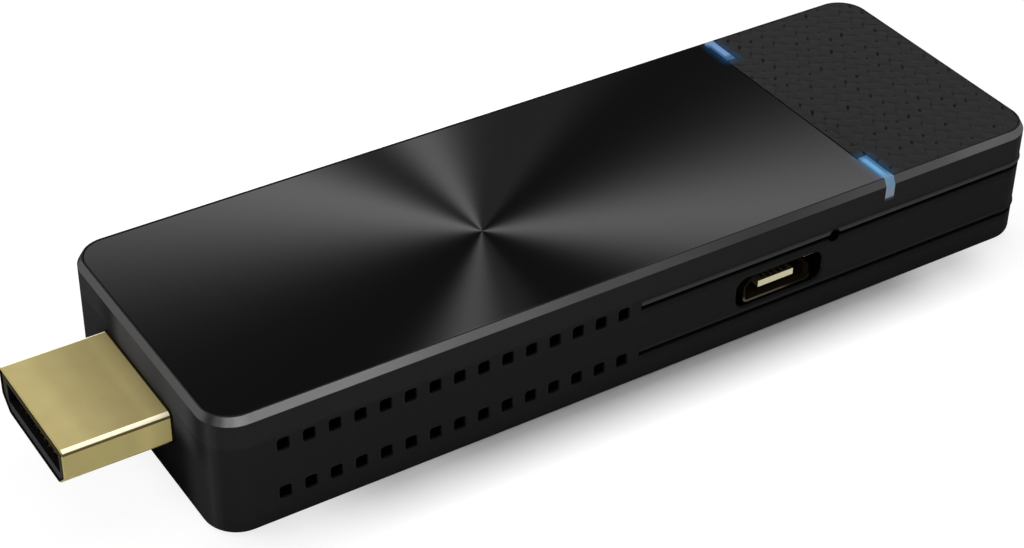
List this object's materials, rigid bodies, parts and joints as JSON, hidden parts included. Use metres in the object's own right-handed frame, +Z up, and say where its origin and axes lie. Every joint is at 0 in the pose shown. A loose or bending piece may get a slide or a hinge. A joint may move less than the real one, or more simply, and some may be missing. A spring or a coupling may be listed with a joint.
{
  "type": "wireless display dongle",
  "caption": "Slim wireless display dongle: bevelled black housing, spun metal top plate, side vents, gold video plug, side power socket and two edge light bars.",
  "frame": {"origin": "centre of the underside plane, in the middle of the whole outline with the plug", "axes": "+X from the video plug towards the woven rear panel, +Z up through the spun plate, the power socket faces -Y"},
  "size_m": [0.1018, 0.0308, 0.013],
  "materials": {
    "housing_plastic": "matte black moulding",
    "spun_metal": "black anodised, radial spun",
    "panel_plastic": "woven relief",
    "adhesive": "double sided sheet",
    "light_guide": "tinted light guide",
    "light_source": "cast lens",
    "board": "solder resist",
    "gold_plate": "gold plated steel",
    "contact_gold": "gold plated",
    "insulator": "moulded insulator",
    "sheet_steel": "tinned sheet",
    "switch_plastic": "moulded",
    "chip_plastic": "moulded package",
    "capacitor_ceramic": "ceramic",
    "inductor_ferrite": "pressed ferrite",
    "crystal_can": "plated can",
    "pad": "soft thermal pad",
    "spreader_metal": "milled",
    "screw_steel": "blackened"
  },
  "bodies": {
    "housing": {"top_cover": "housing_plastic", "middle_frame": "housing_plastic", "bottom_cover": "housing_plastic", "spun_plate": "spun_metal", "textured_panel": "panel_plastic", "plate_adhesive": "adhesive", "panel_adhesive": "adhesive", "near_light_bar": "light_guide", "far_light_bar": "light_guide", "near_light_source": "light_source", "far_light_source": "light_source", "main_board": "board", "plug_shell": "gold_plate", "socket_shell": "gold_plate", "plug_contacts": "contact_gold", "socket_contacts": "contact_gold", "plug_insulator": "insulator", "socket_tongue": "insulator", "plug_bracket": "sheet_steel", "radio_shield": "sheet_steel", "reset_switch_cover": "sheet_steel", "near_antenna": "sheet_steel", "far_antenna": "sheet_steel", "reset_switch_base": "switch_plastic", "memory_chips": "chip_plastic", "processor": "chip_plastic", "flash_chip": "chip_plastic", "power_chip": "chip_plastic", "radio_chip": "chip_plastic", "capacitors": "capacitor_ceramic", "power_inductors": "inductor_ferrite", "crystal": "crystal_can", "thermal_pad": "pad", "heat_spreader": "spreader_metal", "housing_screws": "screw_steel"},
    "reset_button": {"reset_plunger": "switch_plastic"}
  },
  "joints": [
    {"name": "reset_press", "type": "slide", "parent": "housing", "child": "reset_button", "axis": [0, 1, 0], "range_m": [0, 0.00025], "stiffness_N_per_m": 400}
  ]
}
